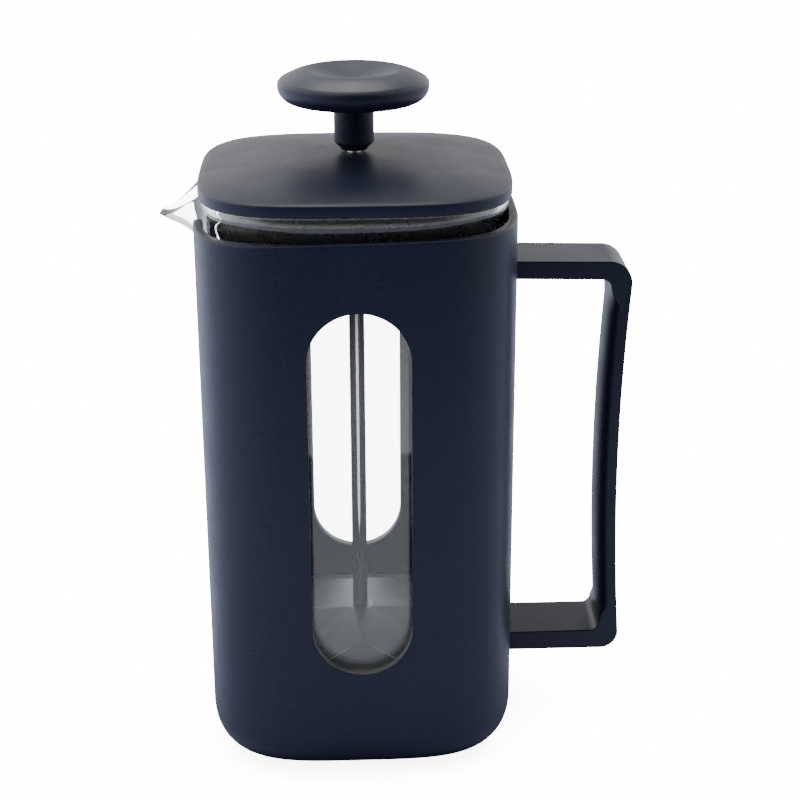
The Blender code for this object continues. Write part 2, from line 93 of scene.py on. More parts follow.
# handle
ARM_HALF = HANDLE_HIGH.y
UPPER_ARM = (0.1586, 0.1645)
LOWER_ARM = (0.0257, 0.0324)
UPPER_ARM_DROP = 0.0006
GRIP_OUTER = 0.0856
GRIP_INNER = 0.0790
GRIP_BOW = 0.0024
GRIP_MID_Z = 0.0940
GRIP_REACH = 0.062
CORNER_LOW = 0.0060
CORNER_HIGH = 0.0075
CORNER_INNER = 0.0030
ARM_ROUND = 0.0005
GRIP_SWELL = 0.0041
SWELL_RUN = 0.007

# window sill: a painted highlight on the windows' lower cut edges
SILL_PAINTED_LIGHT = (0.085, 0.092, 0.088)
SILL_REACH = 0.0005
SILL_INSET = 0.0004

# glass
GLASS_HALF = 0.0468
GLASS_POWER = 3.32
GLASS_WALL = 0.0022
GLASS_FILLET = 0.0110
GLASS_RIM_Z = 0.1892
GLASS_LIP = 0.0009
GLASS_FLARE = 0.0011
FLARE_START = 0.7
FLARE_RUN = 0.22
SPOUT_START_Z = 0.1650
SPOUT_HALF = 0.0170
SPOUT_REACH = 0.0142
SPOUT_DROP = 0.0105

# lid
LID_HALF = COVER_HIGH.x
LID_POWER = 3.65
LID_EDGE_Z = 0.1932
LID_DOME = 0.0050
SLOT_Z = 0.1855

# plunger
KNOB_RADIUS = KNOB_HIGH.x
KNOB_RIM = 0.0049
KNOB_CREST = 0.0150
KNOB_DISH = 0.0030
ROD_RADIUS = ROD_HIGH.x
PLATE_BORE = 0.0022
DOME_SHEET = 0.0008
DOME_FLANGE = 0.0022
DOME_TIP = 0.0230
DOME_TIP_DROP = 0.0022
DOME_HUB = 0.0045
DOME_CREASE = math.radians(35.0)
# the painted fold highlights: their half width, and how far past each side tip they begin
FOLD_HALF_WIDTH = 0.00022
FOLD_BLUNT = 0.0022
# where the painted light round the creased plate's rim rises, from inner to outer reach
DOME_RIM_LIGHT = (0.0335, 0.0425)


def square_point(angle, reach):
    """The point at an angle on the glass's rounded square, scaled to a half width."""
    c = math.cos(angle)
    s = math.sin(angle)
    span = (abs(c) ** GLASS_POWER + abs(s) ** GLASS_POWER) ** (-1.0 / GLASS_POWER)
    return reach * span * c, reach * span * s


# ---------------------------------------------------------------- node graphs


class Graph:
    """The nodes of a material or a world, with short calls for the ones used here."""

    def __init__(self, holder, space="Object"):
        holder.use_nodes = True
        self.tree = holder.node_tree
        self.output = next(node for node in self.tree.nodes if node.type.startswith("OUTPUT"))
        self.shader = self.output.inputs["Surface"].links[0].from_node
        self.place = self.tree.nodes.new("ShaderNodeTexCoord").outputs[space]

    def node(self, kind, **settings):
        made = self.tree.nodes.new(kind)
        for key, value in settings.items():
            setattr(made, key, value)
        return made

    def link(self, source, target):
        self.tree.links.new(source, target)

    def feed(self, socket, value):
        """Sets a socket to a number, a triple or a colour, or links an output to it."""
        if isinstance(value, (int, float, Vector)):
            socket.default_value = value
        elif isinstance(value, tuple):
            socket.default_value = (*value, 1.0)
        else:
            self.link(value, socket)

    def set(self, **values):
        for key, value in values.items():
            self.feed(self.shader.inputs[key.replace("_", " ")], value)

    def glow(self):
        """Puts plain emission in place of the default surface."""
        self.tree.nodes.remove(self.shader)
        self.shader = self.node("ShaderNodeEmission")
        self.link(self.shader.outputs["Emission"], self.output.inputs["Surface"])

    def split(self):
        made = self.node("ShaderNodeSeparateXYZ")
        self.link(self.place, made.inputs["Vector"])
        return made.outputs["X"], made.outputs["Y"], made.outputs["Z"]

    def noise(self, scale, detail=3.0, roughness=0.5, stretch=None):
        made = self.node("ShaderNodeTexNoise")
        made.inputs["Scale"].default_value = scale
        made.inputs["Detail"].default_value = detail
        made.inputs["Roughness"].default_value = roughness
        place = self.place
        if stretch:
            mapping = self.node("ShaderNodeMapping")
            mapping.inputs["Scale"].default_value = stretch
            self.link(self.place, mapping.inputs["Vector"])
            place = mapping.outputs["Vector"]
        self.link(place, made.inputs["Vector"])
        return made.outputs["Fac"]

    def cells(self, scale):
        made = self.node("ShaderNodeTexVoronoi")
        made.inputs["Scale"].default_value = scale
        self.link(self.place, made.inputs["Vector"])
        return made

    def ramp(self, source, low, high, to_low=0.0, to_high=1.0, kind="LINEAR"):
        made = self.node("ShaderNodeMapRange", interpolation_type=kind)
        made.inputs["From Min"].default_value = low
        made.inputs["From Max"].default_value = high
        made.inputs["To Min"].default_value = to_low
        made.inputs["To Max"].default_value = to_high
        self.link(source, made.inputs["Value"])
        return made.outputs["Result"]

    def math(self, operation, first, second=0.0):
        made = self.node("ShaderNodeMath", operation=operation)
        self.feed(made.inputs[0], first)
        self.feed(made.inputs[1], second)
        return made.outputs[0]

    def mix(self, factor, first, second, kind="RGBA"):
        made = self.node("ShaderNodeMix", data_type=kind)
        self.link(factor, made.inputs["Factor"])
        self.feed(made.inputs["A"], first)
        self.feed(made.inputs["B"], second)
        return made.outputs["Result"]

    def bump(self, height, strength, distance, under=None):
        made = self.node("ShaderNodeBump")
        made.inputs["Strength"].default_value = strength
        made.inputs["Distance"].default_value = distance
        self.link(height, made.inputs["Height"])
        if under:
            self.link(under, made.inputs["Normal"])
        return made.outputs["Normal"]


def material_graph(name):
    material = bpy.data.materials.new(name)
    return material, Graph(material)


def painted_sill_light(g):
    """1 on the lower half of the windows' cut edges, where a highlight is painted, and 0 elsewhere."""
    x, y, z = g.split()
    rise = g.math("SUBTRACT", z, WINDOW_LOW + WINDOW_HALF)
    reach = g.math("SQRT", g.math("ADD", g.math("MULTIPLY", x, x), g.math("MULTIPLY", rise, rise)))
    edge = g.math("COMPARE", reach, WINDOW_HALF)
    edge.node.inputs[2].default_value = SILL_REACH
    low = g.math("LESS_THAN", rise, 0.0)
    inset = g.math("LESS_THAN", g.math("ABSOLUTE", y), BODY_HALF - SILL_INSET)
    return g.math("MULTIPLY", g.math("MULTIPLY", edge, low), inset)


def soft_plastic():
    """Blue-black soft-touch moulding with fine grain, faint cloudiness, a little dust, and a painted
    highlight on the windows' lower cut edges.
    """
    material, g = material_graph("soft_plastic")
    cloud = g.ramp(g.noise(26.0, 4.0, 0.55), 0.35, 0.7)
    base = g.mix(cloud, (0.0028, 0.0034, 0.0125), (0.0040, 0.0052, 0.0168))
    mottle = g.ramp(g.noise(1500.0, 2.0, 0.6), 0.35, 0.7)
    base = g.mix(mottle, base, (0.0074, 0.0092, 0.0230))
    dust = g.cells(520.0)
    lone = g.ramp(dust.outputs["Color"], 0.955, 0.965)
    near = g.ramp(dust.outputs["Distance"], 0.16, 0.08)
    speck = g.math("MULTIPLY", lone, near)
    base = g.mix(speck, base, (0.11, 0.12, 0.13))
    # painted highlight: the windows' lower cut edges are coloured pale to stand in for light falling on
    # them
    g.set(Base_Color=g.mix(painted_sill_light(g), base, SILL_PAINTED_LIGHT))
    rub = g.noise(70.0, 5.0, 0.6)
    g.set(Roughness=g.ramp(rub, 0.3, 0.75, 0.35, 0.44))
    grain = g.bump(g.noise(5200.0, 2.0, 0.5), 0.10, 0.00008)
    g.set(Normal=g.bump(g.noise(420.0, 3.0, 0.5), 0.04, 0.00012, grain))
    g.set(Specular_IOR_Level=0.20)
    return material


def liner_plastic():
    """Smooth black moulding."""
    material, g = material_graph("liner_plastic")
    cloud = g.noise(60.0, 3.0, 0.5)
    g.set(Base_Color=g.mix(g.ramp(cloud, 0.3, 0.7), (0.010, 0.010, 0.012), (0.016, 0.016, 0.018)))
    g.set(Roughness=g.ramp(g.noise(180.0, 4.0, 0.6), 0.3, 0.7, 0.22, 0.36))
    g.set(Normal=g.bump(g.noise(160.0, 2.0, 0.5), 0.02, 0.0001))
    return material


def clear_glass():
    """Borosilicate with faint drawing waves; lamps shine through it."""
    material, g = material_graph("clear_glass")
    g.set(Base_Color=(0.99, 0.998, 0.996), Roughness=0.0, Transmission_Weight=1.0, IOR=1.47)
    waves = g.noise(34.0, 2.0, 0.4, stretch=(1.0, 1.0, 0.35))
    g.set(Normal=g.bump(waves, 0.012, 0.002))
    through = g.node("ShaderNodeBsdfTransparent")
    g.feed(through.inputs["Color"], (0.93, 0.95, 0.95))
    path = g.node("ShaderNodeLightPath")
    blend = g.node("ShaderNodeMixShader")
    g.link(path.outputs["Is Shadow Ray"], blend.inputs["Fac"])
    g.link(g.shader.outputs["BSDF"], blend.inputs[1])
    g.link(through.outputs["BSDF"], blend.inputs[2])
    g.link(blend.outputs["Shader"], g.output.inputs["Surface"])
    return material


def polished_steel():
    """Bright drawn rod, with fine rings of polish and a few hairlines."""
    material, g = material_graph("polished_steel")
    rings = g.noise(1400.0, 2.0, 0.5, stretch=(0.02, 0.02, 1.0))
    hair = g.noise(900.0, 2.0, 0.6, stretch=(1.0, 1.0, 0.015))
    tone = g.mix(g.ramp(rings, 0.3, 0.7), (0.70, 0.70, 0.71), (0.80, 0.80, 0.81))
    g.set(Base_Color=tone, Metallic=1.0)
    g.set(Roughness=g.ramp(hair, 0.35, 0.75, 0.06, 0.14))
    g.set(Normal=g.bump(hair, 0.03, 0.00005))
    return material


def painted_fold_highlights(g, x, y):
    """1 along the folds from near each side triangle's tip to the plate's rim, where highlights are
    painted, and 0 elsewhere.
    """
    rim = square_point(DOME_CREASE, DOME_HIGH.x - DOME_FLANGE)
    run = Vector((rim[0] - DOME_TIP, rim[1])).normalized()
    lines = []
    for along, across in ((x, y), (y, x)):
        drift = g.math("MULTIPLY", g.math("SUBTRACT", along, DOME_TIP), run.y)
        offset = g.math("SUBTRACT", drift, g.math("MULTIPLY", across, run.x))
        near = g.math("LESS_THAN", g.math("ABSOLUTE", offset), FOLD_HALF_WIDTH)
        outside = g.math("GREATER_THAN", along, DOME_TIP + FOLD_BLUNT)
        lines.append(g.math("MULTIPLY", near, outside))
    return g.math("MAXIMUM", lines[0], lines[1])


def brushed_steel(name, folded=False):
    """Stamped sheet with a fine one-way grain; a folded one gets painted highlights along its folds and
    painted light round its rim.
    """
    material, g = material_graph(name)
    grain = g.noise(2600.0, 2.0, 0.6, stretch=(0.03, 1.0, 1.0))
    patch = g.noise(55.0, 4.0, 0.6)
    tone = g.mix(g.ramp(patch, 0.3, 0.7), (0.27, 0.28, 0.30), (0.34, 0.35, 0.37))
    tone = g.mix(g.ramp(grain, 0.2, 0.8), tone, (0.38, 0.39, 0.41))
    if folded:
        x, y = (g.math("ABSOLUTE", part) for part in g.split()[:2])
        # painted light: the plate is coloured brighter towards its rim
        rim_light = g.ramp(g.math("MAXIMUM", x, y), *DOME_RIM_LIGHT)
        tone = g.mix(rim_light, tone, (0.64, 0.66, 0.68))
        # painted highlights along the folds, in place of light caught by the fold edges
        tone = g.mix(painted_fold_highlights(g, x, y), tone, (0.72, 0.73, 0.75))
    g.set(Base_Color=tone, Metallic=1.0)
    g.set(Roughness=g.ramp(patch, 0.3, 0.7, 0.44, 0.52))
    g.set(Normal=g.bump(grain, 0.05, 0.00004))
    return material


def woven_steel():
    """Fine filter cloth: two crossing sets of wires."""
    material, g = material_graph("woven_steel")
    heights = []
    for axis in ("X", "Y"):
        wave = g.node("ShaderNodeTexWave", bands_direction=axis)
        wave.inputs["Scale"].default_value = 620.0
        g.link(g.place, wave.inputs["Vector"])
        heights.append(wave.outputs["Fac"])
    weave = g.math("MAXIMUM", heights[0], heights[1])
    tone = g.mix(g.ramp(weave, 0.3, 0.9), (0.05, 0.05, 0.05), (0.62, 0.62, 0.63))
    g.set(Base_Color=tone, Metallic=1.0)
    g.set(Roughness=g.ramp(weave, 0.0, 1.0, 0.5, 0.3))
    g.set(Normal=g.bump(weave, 0.5, 0.0001))
    return material


def rubber():
    """Matt silicone with fine grain and faint cloudiness."""
    material, g = material_graph("rubber")
    cloud = g.ramp(g.noise(90.0, 4.0, 0.6), 0.3, 0.7)
    g.set(Base_Color=g.mix(cloud, (0.020, 0.020, 0.021), (0.036, 0.036, 0.037)))
    g.set(Roughness=g.ramp(g.noise(300.0, 3.0, 0.6), 0.3, 0.7, 0.72, 0.88))
    g.set(Normal=g.bump(g.noise(3000.0, 2.0, 0.5), 0.2, 0.00008))
    return material


def brass():
    """Turned brass with fine tool rings."""
    material, g = material_graph("brass")
    rings = g.noise(2400.0, 2.0, 0.5, stretch=(0.02, 0.02, 1.0))
    tone = g.mix(g.ramp(rings, 0.3, 0.7), (0.58, 0.40, 0.17), (0.74, 0.54, 0.26))
    g.set(Base_Color=tone, Metallic=1.0)
    g.set(Roughness=g.ramp(rings, 0.3, 0.7, 0.22, 0.36))
    g.set(Normal=g.bump(rings, 0.1, 0.00005))
    return material


SOFT_PLASTIC = soft_plastic()
LINER_PLASTIC = liner_plastic()
CLEAR_GLASS = clear_glass()
POLISHED_STEEL = polished_steel()
BRUSHED_STEEL = brushed_steel("brushed_steel")
CREASED_STEEL = brushed_steel("creased_steel", folded=True)
WOVEN_STEEL = woven_steel()
RUBBER = rubber()
BRASS = brass()


# ---------------------------------------------------------------- shapes


def smooth_step(share):
    share = min(1.0, max(0.0, share))
    return share * share * (3.0 - 2.0 * share)


def superellipse(half, power, angle):
    """A point of |x/half|^power + |y/half|^power = 1."""
    c = math.cos(angle)
    s = math.sin(angle)
    x = half * math.copysign(abs(c) ** (2.0 / power), c)
    y = half * math.copysign(abs(s) ** (2.0 / power), s)
    return x, y


def ring_angles(count, power):
    """Angles whose points are spread evenly along a rounded square's edge."""
    parts = 4000
    fine = [superellipse(1.0, power, TAU * k / parts) for k in range(parts + 1)]
    lengths = [0.0]
    for (x0, y0), (x1, y1) in zip(fine, fine[1:]):
        lengths.append(lengths[-1] + math.hypot(x1 - x0, y1 - y0))
    angles = []
    k = 0
    for i in range(count):
        target = lengths[-1] * i / count
        while lengths[k + 1] < target:
            k += 1
        share = (target - lengths[k]) / (lengths[k + 1] - lengths[k])
        angles.append(TAU * (k + share) / parts)
    return angles


def new_object(name, build, look, sharp=SHARP_ANGLE):
    mesh = bpy.data.meshes.new(name)
    bmesh.ops.recalc_face_normals(build, faces=build.faces)
    build.to_mesh(mesh)
    build.free()
    mesh.shade_smooth()
    mesh.set_sharp_from_angle(angle=math.radians(sharp))
    mesh.materials.append(look)
    made = bpy.data.objects.new(name, mesh)
    bpy.context.scene.collection.objects.link(made)
    return made


def skin(build, rings, closed=False, close_first=False, close_last=False):
    """Quads between rings of equal length; closed joins the last ring to the first."""
    loops = [[build.verts.new(point) for point in ring] for ring in rings]
    pairs = list(zip(loops, loops[1:]))
    if closed:
        pairs.append((loops[-1], loops[0]))
    count = len(loops[0])
    for low, high in pairs:
        for k in range(count):
            after = (k + 1) % count
            build.faces.new((low[k], low[after], high[after], high[k]))
    for wanted, loop in ((close_first, loops[0]), (close_last, loops[-1])):
        if wanted:
            center = build.verts.new(sum((v.co for v in loop), Vector()) / count)
            for k in range(count):
                build.faces.new((center, loop[k], loop[(k + 1) % count]))


def rounded(points, radius, steps=5, closed=True):
    """A profile whose corners are replaced by arcs; radius is a number or one per corner."""
    count = len(points)
    radii = radius if isinstance(radius, (list, tuple)) else [radius] * count
    made = []
    for i, (point, size) in enumerate(zip(points, radii)):
        if size <= 0.0 or (not closed and i in (0, count - 1)):
            made.append(Vector(point))
            continue
        here = Vector(point)
        back = Vector(points[i - 1]) - here
        ahead = Vector(points[(i + 1) % count]) - here
        turn = back.angle(ahead)
        reach = min(size / math.tan(turn / 2.0), 0.49 * back.length, 0.49 * ahead.length)
        size = reach * math.tan(turn / 2.0)
        start = here + back.normalized() * reach
        end = here + ahead.normalized() * reach
        bisector = (back.normalized() + ahead.normalized()).normalized()
        middle = here + bisector * (size / math.sin(turn / 2.0))
        swing = (start - middle).angle(end - middle)
        for k in range(steps + 1):
            share = k / steps
            a = math.sin((1.0 - share) * swing) / math.sin(swing)
            b = math.sin(share * swing) / math.sin(swing)
            made.append(middle + (start - middle) * a + (end - middle) * b)
    return [(p[0], p[1]) for p in made]


def round_ring(radius, height, steps):
    return [Vector((radius * math.cos(TAU * k / steps), radius * math.sin(TAU * k / steps), height))
            for k in range(steps)]


def turned_piece(name, profile, look, steps=72, closed=True):
    """A solid of revolution; a radius of 0 at an open profile's end closes it there."""
    build = bmesh.new()
    start_pole = not closed and profile[0][0] == 0.0
    end_pole = not closed and profile[-1][0] == 0.0
    body = profile[int(start_pole) : len(profile) - int(end_pole)]
    skin(build, [round_ring(radius, height, steps) for radius, height in body], closed=closed)
    last = len(build.verts) - steps
    for wanted, height, first in ((start_pole, profile[0][1], 0), (end_pole, profile[-1][1], last)):
        if wanted:
            build.verts.ensure_lookup_table()
            loop = [build.verts[first + k] for k in range(steps)]
            center = build.verts.new((0.0, 0.0, height))
            for k in range(steps):
                build.faces.new((center, loop[k], loop[(k + 1) % steps]))
    return new_object(name, build, look)


def square_turned_rings(profile, half, power, count):
    """Rings that are round at the middle and rounded squares at the full half width."""
    angles = ring_angles(count, power)
    rings = []
    for reach, height in profile:
        share = smooth_step((reach / half - SQUARE_START) / SQUARE_RUN)
        local = 2.0 + (power - 2.0) * share
        ring = []
        for angle in angles:
            x, y = superellipse(1.0, power, angle)
            direction = math.atan2(y, x)
            c = math.cos(direction)
            s = math.sin(direction)
            span = (abs(c) ** local + abs(s) ** local) ** (-1.0 / local)
            ring.append(Vector((reach * span * c, reach * span * s, height)))
        rings.append(ring)
    return rings


def square_turned_piece(name, profile, half, power, count, look):
    build = bmesh.new()
    skin(build, square_turned_rings(profile, half, power, count), closed=True)
    return new_object(name, build, look)


def prism(name, outline, low, high, place):
    """A cutter: the outline (x, y) stretched from low to high along Z, then placed."""
    build = bmesh.new()
    foot = [build.verts.new((x, y, low)) for x, y in outline]
    head = [build.verts.new((x, y, high)) for x, y in outline]
    build.faces.new(foot)
    build.faces.new(head)
    count = len(outline)
    for k in range(count):
        after = (k + 1) % count
        build.faces.new((foot[k], foot[after], head[after], head[k]))
    build.transform(place)
    bmesh.ops.recalc_face_normals(build, faces=build.faces)
    mesh = bpy.data.meshes.new(name)
    build.to_mesh(mesh)
    build.free()
    return bpy.data.objects.new(name, mesh)


def carve(piece, cutters, bevel=0.0):
    """Cuts shapes out of a piece, rounds the new edges, and makes the result plain mesh."""
    scene = bpy.context.scene.collection.objects
    for tool in cutters:
        scene.link(tool)
        step = piece.modifiers.new(tool.name, "BOOLEAN")
        step.operation = "DIFFERENCE"
        step.solver = "EXACT"
        step.object = tool
    if bevel:
        step = piece.modifiers.new("join", "WELD")
        step.merge_threshold = CUT_MERGE
        add_bevel(piece, bevel, 3, CUT_ANGLE)
    apply_modifiers(piece)
    for tool in cutters:
        bpy.data.objects.remove(tool, do_unlink=True)


def add_bevel(piece, width, segments, angle=30.0):
    step = piece.modifiers.new("rounding", "BEVEL")
    step.width = width
    step.segments = segments
    step.limit_method = "ANGLE"
    step.angle_limit = math.radians(angle)
    return step


def add_wall(piece, thickness):
    """Thickens a surface inwards to a wall."""
    step = piece.modifiers.new("wall", "SOLIDIFY")
    step.thickness = thickness
    step.offset = -1.0
    return step


def apply_modifiers(piece):
    shape = piece.evaluated_get(bpy.context.evaluated_depsgraph_get())
    mesh = bpy.data.meshes.new_from_object(shape)
    piece.modifiers.clear()
    piece.data = mesh
    mesh.shade_smooth()
    mesh.set_sharp_from_angle(angle=math.radians(SHARP_ANGLE))


def even_shading(piece):
    step = piece.modifiers.new("even_shading", "WEIGHTED_NORMAL")
    step.keep_sharp = True
    step.weight = 80


def arc(center_x, center_y, radius, start, end, steps):
    points = []
    for k in range(steps + 1):
        angle = math.radians(start + (end - start) * k / steps)
        points.append((center_x + radius * math.cos(angle), center_y + radius * math.sin(angle)))
    return points


UPRIGHT = Matrix.Rotation(math.radians(90.0), 4, "X")
SIDEWAYS = Matrix.Rotation(math.radians(90.0), 4, "Z") @ UPRIGHT


def finish_piece(piece, body, slot, *nodes):
    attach(piece, body)
    if nodes:
        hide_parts(*nodes)


# ---------------------------------------------------------------- sleeve and handle


def sleeve_profile():
    """Half a section, from the underside round the lip to the inside floor."""
    low = SLEEVE_LOW.z
    inner_fillet = SLEEVE_FILLET - SLEEVE_WALL
    inner = BODY_HALF - SLEEVE_WALL
    profile = arc(BODY_HALF - SLEEVE_FILLET, low + SLEEVE_FILLET, SLEEVE_FILLET, -90.0, 0.0, 22)
    profile += arc(BODY_HALF - SLEEVE_LIP, RIM_Z - SLEEVE_LIP, SLEEVE_LIP, 0.0, 90.0, 5)
    profile += arc(inner + SLEEVE_LIP, RIM_Z - SLEEVE_LIP, SLEEVE_LIP, 90.0, 180.0, 5)
    profile += arc(inner - inner_fillet, low + SLEEVE_WALL + inner_fillet, inner_fillet, 0.0, -90.0, 16)
    return profile


def sleeve_cutters():
    """The windows, which go through both sides, the spout's notch and the base pad's pocket."""
    through = 0.1
    shallow = 0.006
    below = -0.01
    top = arc(0.0, WINDOW_HIGH - WINDOW_HALF, WINDOW_HALF, 0.0, 180.0, 40)
    foot = arc(0.0, WINDOW_LOW + WINDOW_HALF, WINDOW_HALF, 180.0, 360.0, 40)
    window = prism("window", top + foot, -through, through, UPRIGHT)
    depth = SLEEVE_HIGH.z - NOTCH_LOW
    outline = [(NOTCH_HALF, SLEEVE_HIGH.z + depth), (-NOTCH_HALF, SLEEVE_HIGH.z + depth)]
    for x, y in arc(0.0, 0.0, 1.0, 180.0, 360.0, 40):
        outline.append((x * NOTCH_HALF, SLEEVE_HIGH.z + y * depth))
    place = Matrix.Translation((-BODY_HALF, 0.0, 0.0)) @ SIDEWAYS
    notch = prism("notch", outline, -shallow, shallow, place)
    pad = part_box("base_pad")[1]
    circle = arc(0.0, 0.0, pad[0] + PAD_GAP, 0.0, 357.0, 119)
    pocket = prism("pocket", circle, below, pad[2] + PAD_GAP, Matrix.Identity(4))
    return [window, notch, pocket]


def make_sleeve():
    count = 288
    rings = []
    for reach, height in sleeve_profile():
        ring = []
        for k in range(count):
            x, y = superellipse(reach, BODY_POWER, TAU * k / count)
            raised = RIM_SLOPE * x if height > SLOPE_START_Z else 0.0
            ring.append(Vector((x, y, height + raised)))
        rings.append(ring)
    build = bmesh.new()
    skin(build, rings, close_first=True, close_last=True)
    sleeve = new_object("sleeve_shell", build, SOFT_PLASTIC)
    carve(sleeve, sleeve_cutters(), bevel=0.0007)
    even_shading(sleeve)
    finish_piece(sleeve, "sleeve_body", "soft_plastic", "sleeve")


def grip_x(base, height):
    return base + GRIP_BOW * ((height - GRIP_MID_Z) / GRIP_REACH) ** 2


def handle_outline():
    """The strap seen from the front, as (x, z, swell), counterclockwise from its lower root."""
    root = HANDLE_LOW.x
    steps = 40
    outline = []

    def add(points, swell=0.0):
        outline.extend((x, z, swell) for x, z in points)

    foot = LOWER_ARM[0] + CORNER_LOW
    head = UPPER_ARM[1] - UPPER_ARM_DROP - CORNER_HIGH
    heights = [foot + (head - foot) * k / steps for k in range(1, steps)]
    add([(root, LOWER_ARM[0])])
    add(arc(grip_x(GRIP_OUTER, foot) - CORNER_LOW, foot, CORNER_LOW, -90.0, 0.0, 16))
    add([(grip_x(GRIP_OUTER, height), height) for height in heights])
    add(arc(grip_x(GRIP_OUTER, head) - CORNER_HIGH, head, CORNER_HIGH, 0.0, 90.0, 18))
    add([(root, UPPER_ARM[1]), (root, UPPER_ARM[0])])
    head = UPPER_ARM[0] - UPPER_ARM_DROP - CORNER_INNER
    foot = LOWER_ARM[1] + CORNER_INNER
    add(arc(grip_x(GRIP_INNER, head) - CORNER_INNER, head, CORNER_INNER, 90.0, 0.0, 10))
    for k in range(1, steps):
        height = head + (foot - head) * k / steps
        swell = smooth_step(min(head - height, height - foot) / SWELL_RUN)
        add([(grip_x(GRIP_INNER, height), height)], swell)
    add(arc(grip_x(GRIP_INNER, foot) - CORNER_INNER, foot, CORNER_INNER, 0.0, -90.0, 10))
    add([(root, LOWER_ARM[1])])
    return outline


def make_handle():
    """A strap bent to a frame; the grip's inner side swells across its width."""
    outline = handle_outline()
    slices = 24
    build = bmesh.new()
    weight = build.edges.layers.float.new("bevel_weight_edge")
    rows = []
    for j in range(slices + 1):
        turn = math.pi * j / slices
        back = GRIP_SWELL * (1.0 - math.sin(turn))
        y = -ARM_HALF * math.cos(turn)
        rows.append([build.verts.new((x + back * swell, y, z)) for x, z, swell in outline])
    build.faces.new(rows[0])
    build.faces.new(rows[-1])
    count = len(outline)
    for k in range(count):
        after = (k + 1) % count
        for near, far in zip(rows, rows[1:]):
            build.faces.new((near[k], near[after], far[after], far[k]))
        if outline[k][0] == HANDLE_LOW.x and outline[after][0] == HANDLE_LOW.x:
            continue
        for side in (rows[0], rows[-1]):
            build.edges.get((side[k], side[after]))[weight] = 1.0
    handle = new_object("handle_strap", build, SOFT_PLASTIC)
    step = add_bevel(handle, ARM_ROUND, 3)
    step.use_clamp_overlap = False
    step.limit_method = "WEIGHT"
    apply_modifiers(handle)
    even_shading(handle)
    finish_piece(handle, "sleeve_body", "soft_plastic", "handle")


def grooves(start, count, spacing, slope, floor, face, depth):
    """Rings pressed into a flat face, from the outermost inwards, as profile points."""
    points = []
    for k in range(count):
        edge = start - spacing * k
        points += [(edge, face), (edge - slope, face + depth)]
        points += [(edge - slope - floor, face + depth), (edge - 2.0 * slope - floor, face)]
    return points


def make_pads():
    low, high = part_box("base_pad")
    radius = high[0]
    chamfer = 0.0004
    profile = [(0.0, high[2]), (radius, high[2]), (radius, low[2] + chamfer), (radius - chamfer, low[2])]
    profile += grooves(radius - 0.003, 5, 0.0042, 0.0003, 0.0010, low[2], 0.0005)
    profile.append((0.0, low[2]))
    pad = turned_piece("base_pad_ribbed", profile, RUBBER, steps=96, closed=False)
    finish_piece(pad, "sleeve_body", "rubber", "base_pad")

    low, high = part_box("beaker_cushion")
    radius = high[0]
    top = high[2]
    chamfer = 0.0003
    profile = [(0.0, low[2]), (radius - chamfer, low[2]), (radius, low[2] + chamfer)]
    profile += [(radius, top - 2.0 * chamfer), (radius - 2.0 * chamfer, top)]
    profile += grooves(radius - 0.0035, 4, 0.0055, 0.0004, 0.0012, top, -0.0007)
    profile.append((0.0, top))
    cushion = turned_piece("cushion_ribbed", profile, RUBBER, steps=96, closed=False)
    finish_piece(cushion, "sleeve_body", "rubber", "beaker_cushion")


# ---------------------------------------------------------------- glass


def spout_share(across):
    t = min(1.0, abs(across) / SPOUT_HALF)
    return 0.5 * (0.5 + 0.5 * math.cos(math.pi * t)) + 0.5 * (1.0 - t)


def beaker_ring(rise, angles):
    """A ring of the upper glass, where it flares and its left side draws out to the spout."""
    flare = smooth_step((rise - FLARE_START) / FLARE_RUN)
    half = GLASS_HALF + GLASS_FLARE * flare
    ring = []
    for angle in angles:
        x, y = superellipse(half, GLASS_POWER, angle)
        share = spout_share(y) if x < 0.0 else 0.0
        rim_z = GLASS_RIM_Z - SPOUT_DROP * (1.0 - (1.0 - share) ** 1.5)
        reach = SPOUT_REACH * share * rise**1.9
        ring.append(Vector((x - reach, y, SPOUT_START_Z + (rim_z - SPOUT_START_Z) * rise)))
    return ring


def beaker_angles():
    """Evenly spread round the glass, and finer, by width, across the spout."""
    spout_half = SPOUT_HALF * 1.1
    parts = 24
    angles = []
    for angle in ring_angles(176, GLASS_POWER):
        across = abs(superellipse(GLASS_HALF, GLASS_POWER, angle)[1])
        if across > spout_half or math.cos(angle) > 0.0:
            angles.append(angle)
    for k in range(-parts, parts + 1):
        across = spout_half * k / parts
        turn = math.asin((abs(across) / GLASS_HALF) ** (GLASS_POWER / 2.0))
        angles.append(math.pi - math.copysign(turn, across))
    return sorted(angles)


def make_beaker():
    angles = beaker_angles()
    low = BEAKER_LOW.z

    def level_ring(half, height):
        return [Vector((*superellipse(half, GLASS_POWER, angle), height)) for angle in angles]

    rings = [level_ring((GLASS_HALF - GLASS_FILLET) * share, low) for share in (0.35, 0.7, 1.0)]
    steps = 16
    for k in range(1, steps + 1):
        turn = 0.5 * math.pi * k / steps
        half = GLASS_HALF - GLASS_FILLET * (1.0 - math.sin(turn))
        rings.append(level_ring(half, low + GLASS_FILLET * (1.0 - math.cos(turn))))
    steps = 24
    rings += [beaker_ring(k / steps, angles) for k in range(steps + 1)]
    build = bmesh.new()
    skin(build, rings, close_first=True)
    beaker = new_object("glass_beaker", build, CLEAR_GLASS)
    wall = add_wall(beaker, GLASS_WALL)
    wall.use_even_offset = True
    add_bevel(beaker, GLASS_LIP, 4, 50.0)
    apply_modifiers(beaker)
    beaker.data.set_sharp_from_angle(angle=math.radians(80.0))
    finish_piece(beaker, "beaker_body", "glass", "beaker")


# ---------------------------------------------------------------- lid


def lid_height(share):
    return LID_EDGE_Z + LID_DOME * (1.0 - share**2.2)


